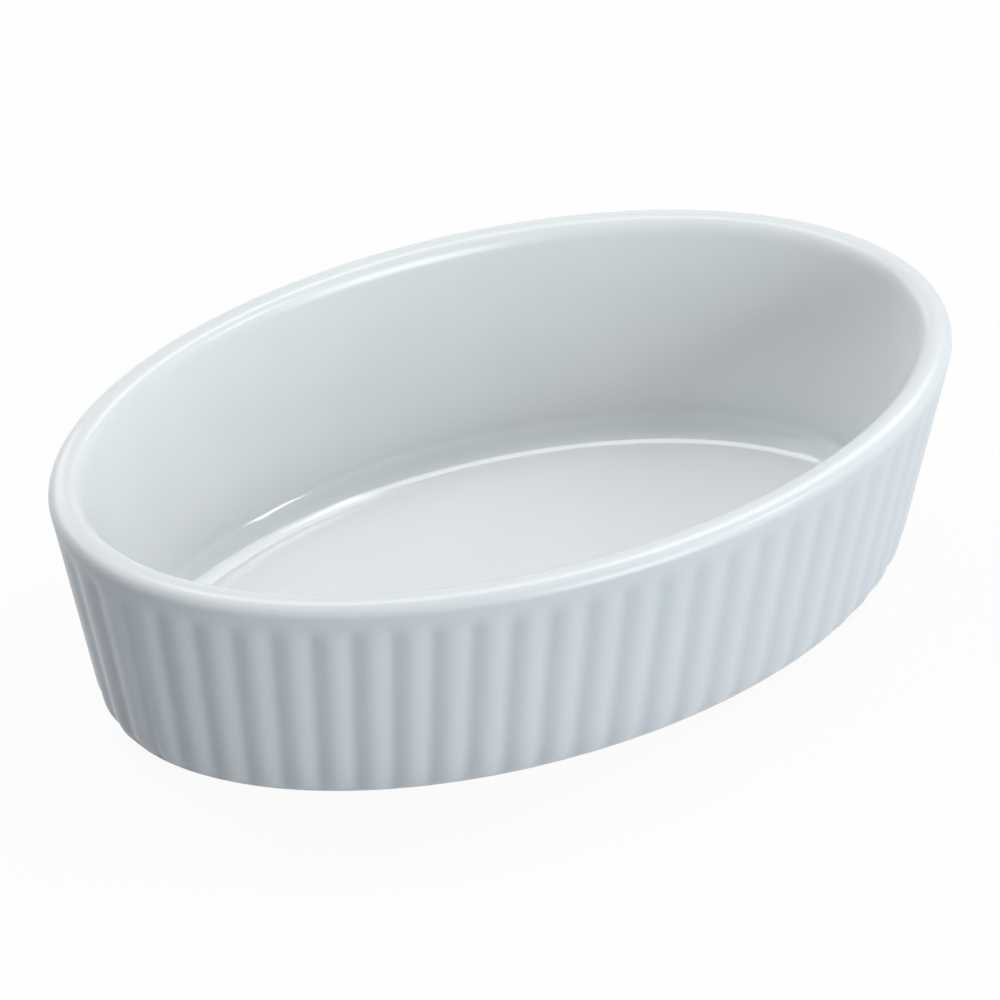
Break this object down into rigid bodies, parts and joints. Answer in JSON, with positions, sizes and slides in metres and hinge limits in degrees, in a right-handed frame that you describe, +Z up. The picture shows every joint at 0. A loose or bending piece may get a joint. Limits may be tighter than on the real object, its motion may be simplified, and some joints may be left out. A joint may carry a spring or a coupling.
{
  "type": "oval souffle dish",
  "caption": "Oval white porcelain souffle dish with a fluted outside wall, a smooth rounded rim, a smooth inside with a cove and flat floor, and a bare foot ring.",
  "frame": {"origin": "centre of the oval, on the plane that the foot ring stands on", "axes": "+X along the dish's length, +Y across its width, +Z up out of its mouth"},
  "size_m": [0.17, 0.1, 0.051],
  "materials": {
    "bare_porcelain": "unglazed, smooth and matt",
    "white_glaze": "cool white, high gloss"
  },
  "bodies": {
    "root": {"porcelain_body": "bare_porcelain", "glaze_coat": "white_glaze", "base_glaze": "white_glaze"}
  },
  "joints": []
}
